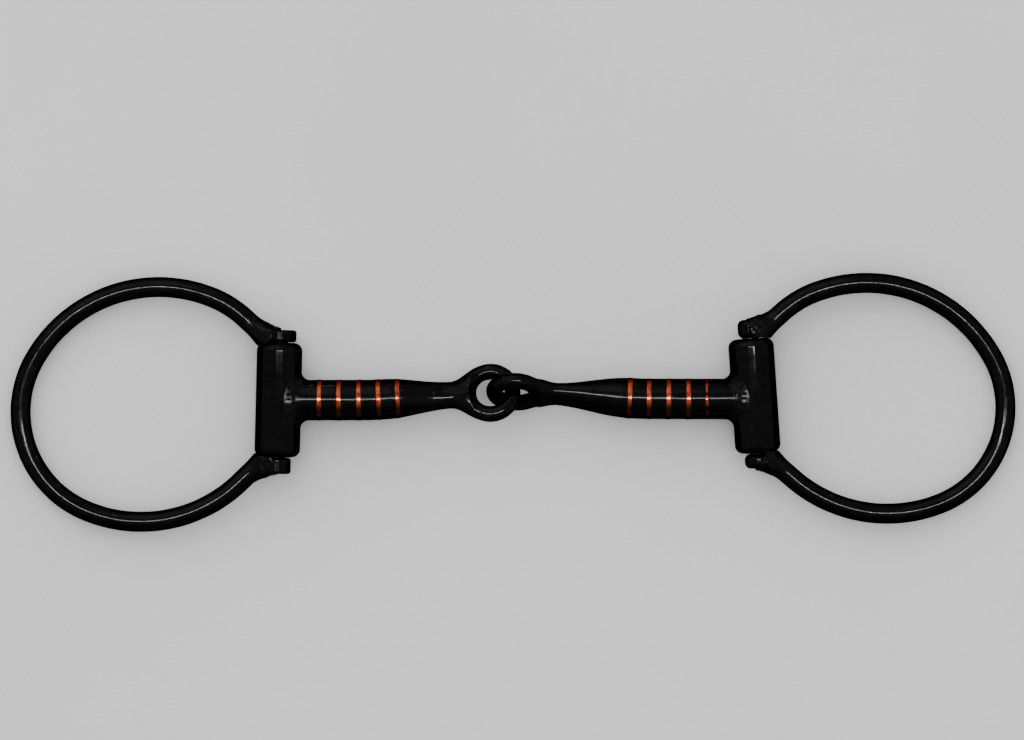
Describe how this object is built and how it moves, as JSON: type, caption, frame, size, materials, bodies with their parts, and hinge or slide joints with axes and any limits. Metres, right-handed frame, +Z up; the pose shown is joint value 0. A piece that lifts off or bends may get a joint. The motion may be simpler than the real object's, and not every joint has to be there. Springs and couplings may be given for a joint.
{
  "type": "snaffle bit",
  "caption": "Single-jointed snaffle bit: two linked cannons with copper bands, each hinged by a barrel and pin to a slanted oval cheek ring for bridle and rein.",
  "frame": {"origin": "middle of the bit's footprint, on the flat surface that it lies on", "axes": "+X along the mouthpiece from the left cheek to the right cheek, +Y along the barrels, +Z up from the surface"},
  "size_m": [0.2985, 0.0769, 0.0157],
  "materials": {
    "black_steel": "blackened steel, satin with soft polish along the wear lines",
    "weld_steel": "blackened weld bead, rippled and slightly rough",
    "pin_steel": "blackened round bar, riveted end",
    "copper": "copper strip, brushed round the mouthpiece"
  },
  "bodies": {
    "left_mouth": {"left_barrel": "black_steel", "left_barrel_weld": "weld_steel", "left_cannon": "black_steel", "left_copper_band_1": "copper", "left_copper_band_2": "copper", "left_copper_band_3": "copper", "left_copper_band_4": "copper", "left_copper_band_5": "copper"},
    "left_cheek": {"left_ring": "black_steel", "left_hinge_pin": "pin_steel", "left_upper_lug": "black_steel", "left_lower_lug": "black_steel", "left_upper_ring_weld": "weld_steel", "left_lower_ring_weld": "weld_steel"},
    "right_mouth": {"right_barrel": "black_steel", "right_barrel_weld": "weld_steel", "right_cannon": "black_steel", "right_copper_band_1": "copper", "right_copper_band_2": "copper", "right_copper_band_3": "copper", "right_copper_band_4": "copper", "right_copper_band_5": "copper"},
    "right_cheek": {"right_ring": "black_steel", "right_hinge_pin": "pin_steel", "right_upper_lug": "black_steel", "right_lower_lug": "black_steel", "right_upper_ring_weld": "weld_steel", "right_lower_ring_weld": "weld_steel"}
  },
  "joints": [
    {"name": "mouth_fold", "type": "hinge", "parent": "left_mouth", "child": "right_mouth", "pos_m": [-0.00014, 0.00339, 0.00799], "axis": [-0.0528, 0.9492, -0.3104], "range_deg": [-70, 70]},
    {"name": "left_cheek_swing", "type": "hinge", "parent": "left_mouth", "child": "left_cheek", "pos_m": [-0.0696, 0.0009, 0.0068], "axis": [0.0244, 0.9997, 0], "range_deg": [-95, 95]},
    {"name": "right_cheek_swing", "type": "hinge", "parent": "right_mouth", "child": "right_cheek", "pos_m": [0.07153, 0.00212, 0.0068], "axis": [-0.0671, 0.9977, 0], "range_deg": [-95, 95]}
  ]
}
